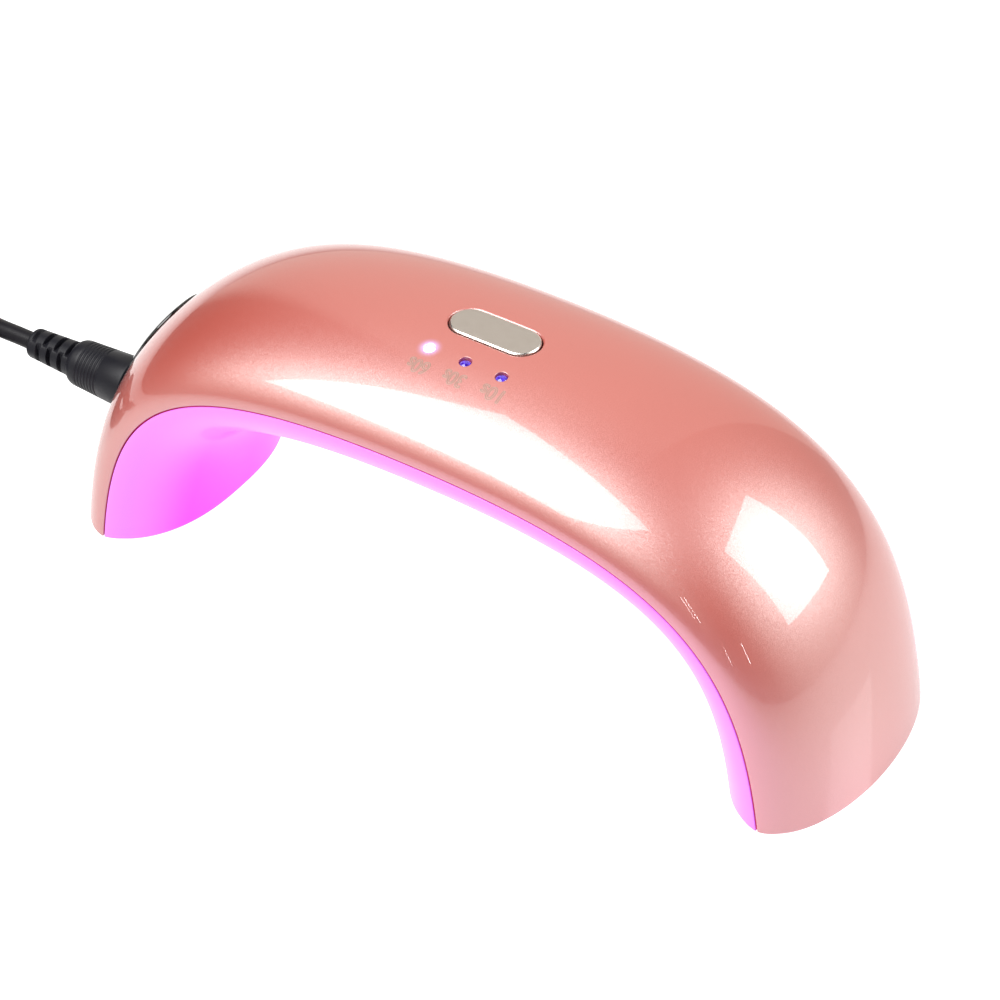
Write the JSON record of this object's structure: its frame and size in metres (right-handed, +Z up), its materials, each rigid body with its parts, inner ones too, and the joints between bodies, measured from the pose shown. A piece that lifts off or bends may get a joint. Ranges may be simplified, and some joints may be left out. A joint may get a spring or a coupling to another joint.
{
  "type": "uv led nail lamp",
  "caption": "Arched UV LED lamp for curing nail gel, with a top push button, timer indicator lights, a lamp head in the arch and a detachable USB power lead.",
  "frame": {"origin": "on the table, under the middle of the arch", "axes": "+X along the arch, away from the jack; -Y the side that the hand goes in from; +Z up"},
  "size_m": [0.2948, 0.0958, 0.0688],
  "materials": {
    "coral_shell": "pearlescent coral, clear coated",
    "milky_liner": "milky white, glows violet when lit",
    "black_gloss": "polished",
    "foot_rubber": "matt",
    "screw_steel": "zinc plated",
    "reflector_white": "satin white",
    "board_aluminium": "white solder mask on aluminium",
    "led_ceramic": "matt",
    "lens_clear": "clear silicone",
    "board_green": "solder mask",
    "chip_black": "moulded",
    "ferrite": "matt",
    "capacitor_sleeve": "shrink sleeve",
    "resistor_ceramic": "glazed top",
    "switch_housing": "moulded",
    "indicator_lit": "water-clear resin, lit",
    "indicator_violet": "tinted resin",
    "tinned_metal": "tinned",
    "jack_plastic": "moulded",
    "contact_brass": "gold flashed",
    "nickel": "nickel plated",
    "wire_red": "PVC insulation",
    "wire_black": "PVC insulation",
    "button_satin": "satin silver plating with a polished edge",
    "plug_pvc": "smooth moulded PVC",
    "cable_pvc": "satin PVC",
    "tie_plastic": "woven strap",
    "usb_white": "moulded"
  },
  "bodies": {
    "lamp": {"outer_shell": "coral_shell", "inner_liner": "milky_liner", "jack_bezel": "black_gloss", "foot_pad_left": "foot_rubber", "foot_pad_right": "foot_rubber", "case_screws": "screw_steel", "led_tray": "reflector_white", "uv_led_board": "board_aluminium", "uv_led_bases": "led_ceramic", "uv_led_lenses": "lens_clear", "control_board": "board_green", "board_screws": "screw_steel", "timer_chip": "chip_black", "led_driver": "chip_black", "power_inductor": "ferrite", "filter_capacitor": "capacitor_sleeve", "chip_resistors": "resistor_ceramic", "tact_switch": "switch_housing", "indicator_led_60s": "indicator_lit", "indicator_led_30s": "indicator_violet", "indicator_led_10s": "indicator_violet", "indicator_leads": "tinned_metal", "dc_jack": "jack_plastic", "jack_pin": "contact_brass", "jack_terminals": "tinned_metal", "jack_nut": "nickel", "supply_wire_red": "wire_red", "supply_wire_black": "wire_black", "led_wire_red": "wire_red", "led_wire_black": "wire_black"},
    "button": {"power_button": "button_satin", "switch_plunger": "chip_black"},
    "power_lead": {"dc_plug_body": "plug_pvc", "plug_relief": "plug_pvc", "plug_sleeve": "nickel", "plug_insulator": "jack_plastic", "plug_contact": "contact_brass", "power_cord": "cable_pvc", "cord_coil": "cable_pvc", "cord_tail": "cable_pvc", "coil_tie": "tie_plastic", "usb_plug_body": "plug_pvc", "usb_shell": "nickel", "usb_tongue": "usb_white", "usb_contacts": "contact_brass"}
  },
  "joints": [
    {"name": "button_press", "type": "slide", "parent": "lamp", "child": "button", "axis": [0, 0, -1], "range_m": [0, 0.0006], "stiffness_N_per_m": 1500},
    {"name": "plug_pull", "type": "slide", "parent": "lamp", "child": "power_lead", "axis": [-1, 0, 0], "range_m": [0, 0.014]}
  ]
}
